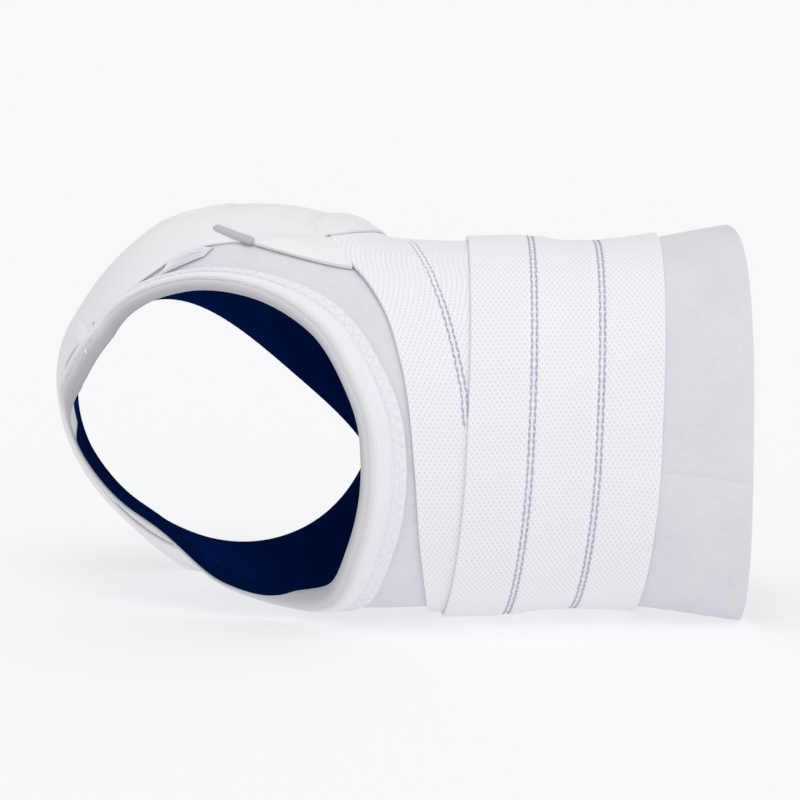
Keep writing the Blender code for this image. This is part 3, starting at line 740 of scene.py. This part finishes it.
def side_tab():
    """The tab, puffed by a sine each way, and the rolled bar of its cut end, which is thinner at its ends. The
    bar's grey is partly its own and partly painted shade.
    """
    station, angle, u, v = patch(TAB_CORNERS, 70, 50)
    points = skin_at(station, angle, TAB_LIFT + TAB_PUFF * np.sin(np.pi * v) * np.sin(np.pi * np.clip(u, 0, 0.9)))
    made = cloth("smooth_side_tab", points, SMOOTH, ["side_tab"], flat_place(points), flip=True,
                 wall=TAB_WALL, soft_edge=0.3 * MM)
    share = np.linspace(0, 1, 60)
    station, angle = (np.interp(share, (0, 0.5, 1), values) for values in zip(*TAB_BAR))
    angle = np.radians(angle)
    size = BAR_RADIUS * np.clip(np.minimum(share, 1 - share) * 9 + 0.25, 0, 1) ** 0.5
    bar = thread("tab_end_bar", skin_at(station, angle, BAR_LIFT), skin_normal(station, angle), size, GREY)
    return declared(made, points, with_pieces=[bar])


def gathered(name, corners, ripples, stands_for):
    """A small piece of the binding's cloth: a dome, drawn up into bent cosine ripples if there are several."""
    station, angle, u, v = patch(corners, 30, 20 * ripples)
    dome = np.sqrt(np.sin(np.pi * u) * np.sin(np.pi * v))
    fold = (1 - np.cos(TURN * (ripples * v + 0.25 * np.sin(3 * u + 5 * v)))) / 2
    points = skin_at(station, angle, GATHER_LIFT + dome * (GATHER_DOME + GATHER_DEPTH * fold * (ripples > 1)))
    return cloth(name, points, KNIT, [stands_for], flat_place(points), wall=0.45 * MM)


def toe_trim():
    """The narrow trim over the toe opening's edge: a hem outside, then a half circle over the felt's edge."""
    angles = edge_angle(np.pi) + np.linspace(0, TURN, 220, endpoint=False)
    edge = np.full_like(angles, LAST_STATION)
    along = bare_skin(edge, angles) - bare_skin(edge - 0.05, angles)
    along /= np.linalg.norm(along, axis=-1)[..., None]
    hem, bend = 14, 13
    across = np.concatenate([np.linspace(1, 0.02, hem), np.zeros(bend)])[:, None]
    roll = np.concatenate([np.zeros(hem), np.linspace(0, 0.9 * np.pi, bend)])[:, None]
    lift = (TOE_TRIM_LIFT + TOE_TRIM_DEEP) / 2 + (TOE_TRIM_LIFT - TOE_TRIM_DEEP) / 2 * np.cos(roll)
    station = walked(edge[None], angles[None], -np.maximum(across * TOE_TRIM_WIDTH, LEAST_WALK))
    points = skin_at(station, angles, lift) + along * (TOE_TRIM_REACH * np.sin(roll))[..., None]
    made = cloth("knit_toe_trim", points, KNIT, ["toe_trim"], flat_place(points, closed_columns=True),
                 closed_columns=True, wall=0.9 * MM, soft_edge=0.3 * MM)
    return declared(made, points, True)


def binding_lift(share):
    """The binding's height outside the edge: flat past the seam, a soft half oval before it, and a groove at it."""
    puff = BINDING_PUFF * np.sqrt(np.clip(1 - (2 * share / BINDING_SEAM - 1) ** 2, 0, 1))
    groove = SEAM_GROOVE * np.exp(-(((share - BINDING_SEAM) / SEAM_GROOVE_REACH) ** 2))
    return BINDING_LIFT + np.where(share > BINDING_SEAM, 0, puff) - groove


def heel_binding():
    """Its section is carried round the opening's cut edge: a hem, a seam, a soft roll over the edge and in. The
    roll is full at the leg side and thin at the sole side, and on the lower side it stops at the felt's edge."""
    turn, _ = even_turns(420)
    station, angle, away, station_rate, angle_rate = edge_frame(turn)
    width = BINDING_WIDTH * edge_value(turn, 1, 3)
    leg_side = np.cos(turn / 2) ** 2
    below = eased(turn, *THINNING_TURNS) * (1 - eased(turn, *FILLING_TURNS))
    hem, bend, inside = 34, 17, 6
    share = np.concatenate([np.linspace(1, 0.02, hem), np.zeros(bend), np.linspace(0.05, 1, inside)])[:, None]
    roll = np.concatenate([np.zeros(hem), np.linspace(0, np.pi, bend), np.full(inside, np.pi)])[:, None]
    outside = roll < 0.01
    high = binding_lift(np.zeros(1))
    deep = BINDING_DEEP + BINDING_THINNED * below
    rolled = (high + deep) / 2 + (high - deep) / 2 * np.cos(roll)
    lift = np.where(outside, binding_lift(share), rolled)
    lift = np.where(lift > 0, lift * (1 - 0.55 * below), lift)
    reach = share * np.where(outside, width[None], BINDING_TURN_IN * (1 - below))
    base = skin_at(station + station_rate * reach, angle + angle_rate * reach, lift)
    bulge = (BINDING_BULGE[0] + BINDING_BULGE[1] * leg_side) * (1 - 0.9 * below) * MM
    points = base - away * (bulge * np.sin(roll))[..., None]
    made = cloth("knit_heel_binding", points, KNIT, ["heel_binding"],
                 flat_place(points, closed_columns=True), closed_columns=True, wall=0.8 * MM, soft_edge=0.25 * MM)
    # painted shade on the roll: none out on the hem, half near the edge, full where it turns in
    painted_shade_amount = np.where(outside, 0.5 * eased(-share, -0.30, 0.0), 0.5 + 0.5 * eased(roll, 0, 1.6))
    painted_shade_grid = np.broadcast_to(painted_shade_amount, points.shape[:2])
    made.data.attributes.new("Painted shade", "FLOAT", "POINT").data.foreach_set("value", painted_shade_grid.ravel())
    tip = gathered("knit_gather", TIP_CORNERS, 3, "gathered_tip")
    tack = gathered("knit_tack", TACK_CORNERS, 1, "sole_tack")
    return declared(made, points, True, overlock() + [tip, tack, slit_shadow()])


def slit_shadow():
    """A painted shadow along the slit between the foot band and the binding: a dark grey thread, thicker at its lower
    end.
    """
    share = np.linspace(0, 1, 40)
    place = SLIT_FROM[0] + SLIT_RUN[0] * share, np.radians(SLIT_FROM[1] + SLIT_RUN[1] * share)
    # painted shadow: a grey thread standing in for the shade in the gap
    path = skin_at(*place, 1.0 * MM)
    return thread("band_slit_shadow", path, skin_normal(*place), (0.15 + 0.25 * share**3) * MM, GREY)


def overlock():
    """A zigzag of thread from just past the binding's seam to just short of its outer edge, as a triangle wave, and
    a straight row along the seam."""
    turn, around = even_turns(200)
    fine = np.linspace(0, 1, 4001)
    turn = np.interp(fine, np.linspace(0, 1, len(turn) + 1), np.append(turn, TURN))
    shown = (turn < BARE_TURNS[0]) | (turn > BARE_TURNS[1])
    station, angle, _, station_rate, angle_rate = edge_frame(turn)
    width = BINDING_WIDTH * edge_value(turn, 1, 3)
    count = int(around / ZIGZAG_STEP)
    wave = np.abs((fine * count % 1) * 2 - 1)
    made = []
    for name, share, radius in (
        ("overlock_zigzag", BINDING_SEAM + 0.08 + (0.88 - BINDING_SEAM) * wave, ZIGZAG_RADIUS),
        ("overlock_seam_row", np.full_like(fine, BINDING_SEAM), SEAM_RADIUS),
    ):
        reach = width * share
        place = station + station_rate * reach, angle + angle_rate * reach
        path = skin_at(*place, binding_lift(share) + 0.02 * MM)
        order = np.argsort(np.where(turn > 1.2 * np.pi, turn - TURN, turn))
        kept = order[shown[order]]
        thickness = np.full(len(kept), radius)
        made.append(thread(name, path[kept], skin_normal(*place)[kept], thickness, PALE))
    return made


felt_body()
navy_lining()
wide_strap()
diagonal_strap()
foot_band()
side_tab()
toe_trim()
heel_binding()


# ---------------------------------------------------------------- floor, light and camera
TABLE_HALF = 30.0
PIXELS, PIXEL = 800, 0.2646 * MM  # of the photograph, at the brace
SENSOR, CAMERA_AWAY = 36.0, 1.2
CAMERA_AIM = (1.67 * MM, -10.63 * MM, 56.8 * MM)
CAMERA_AZIMUTH, CAMERA_ELEVATION = -5.0, 9.0


def floor():
    """A wide pale table that also gives a little light of its own, as a light table does."""
    mesh = bpy.data.meshes.new("table")
    far = TABLE_HALF
    mesh.from_pydata([(-far, -far, 0), (far, -far, 0), (far, far, 0), (-far, far, 0)], [], [(0, 1, 2, 3)])
    made = bpy.data.objects.new("table", mesh)
    bpy.context.scene.collection.objects.link(made)
    paint = bpy.data.materials.new("Pale table")
    paint.use_nodes = True
    shader = paint.node_tree.nodes["Principled BSDF"]
    shader.inputs["Base Color"].default_value = (0.37, 0.372, 0.376, 1)
    shader.inputs["Roughness"].default_value = 1.0
    shader.inputs["Specular IOR Level"].default_value = 0.0
    shader.inputs["Emission Color"].default_value = (0.98, 0.988, 1.0, 1)
    shader.inputs["Emission Strength"].default_value = 0.60
    mesh.materials.append(paint)


def sun(name, direction, strength, spread):
    """A sun lamp that shines along a direction, soft by its spread in degrees."""
    lamp = bpy.data.lights.new(name, "SUN")
    lamp.energy = strength
    lamp.angle = np.radians(spread)
    made = bpy.data.objects.new(name, lamp)
    made.rotation_mode = "QUATERNION"
    made.rotation_quaternion = Vector(direction).to_track_quat("-Z", "Y")
    bpy.context.scene.collection.objects.link(made)


def studio():
    """An even pale light all round, with two broad suns from above and from the front."""
    world = bpy.data.worlds.new("Light tent")
    bpy.context.scene.world = world
    world.use_nodes = True
    shade = world.node_tree.nodes["Background"]
    shade.inputs["Color"].default_value = (0.98, 0.985, 1.0, 1)
    shade.inputs["Strength"].default_value = 0.66
    sun("Top light", (-0.15, 0.45, -1.0), 0.85, 45)
    sun("Front light", (-0.25, 1.0, -0.45), 0.30, 60)
    bpy.context.scene.view_settings.view_transform = "Standard"


def camera():
    """At the photograph's angle: 5 degrees round to the left, 9 degrees above the floor."""
    lens = bpy.data.cameras.new("Camera")
    lens.sensor_width = SENSOR
    lens.lens = SENSOR * CAMERA_AWAY / (PIXELS * PIXEL)
    lens.clip_start, lens.clip_end = 0.05, 100
    made = bpy.data.objects.new("Camera", lens)
    azimuth, elevation = np.radians(CAMERA_AZIMUTH), np.radians(CAMERA_ELEVATION)
    back = Vector((np.sin(azimuth) * np.cos(elevation), -np.cos(azimuth) * np.cos(elevation), np.sin(elevation)))
    made.location = Vector(CAMERA_AIM) + back * CAMERA_AWAY
    made.rotation_mode = "QUATERNION"
    made.rotation_quaternion = (-back).to_track_quat("-Z", "Y")
    bpy.context.scene.collection.objects.link(made)
    bpy.context.scene.camera = made


floor()
studio()
camera()
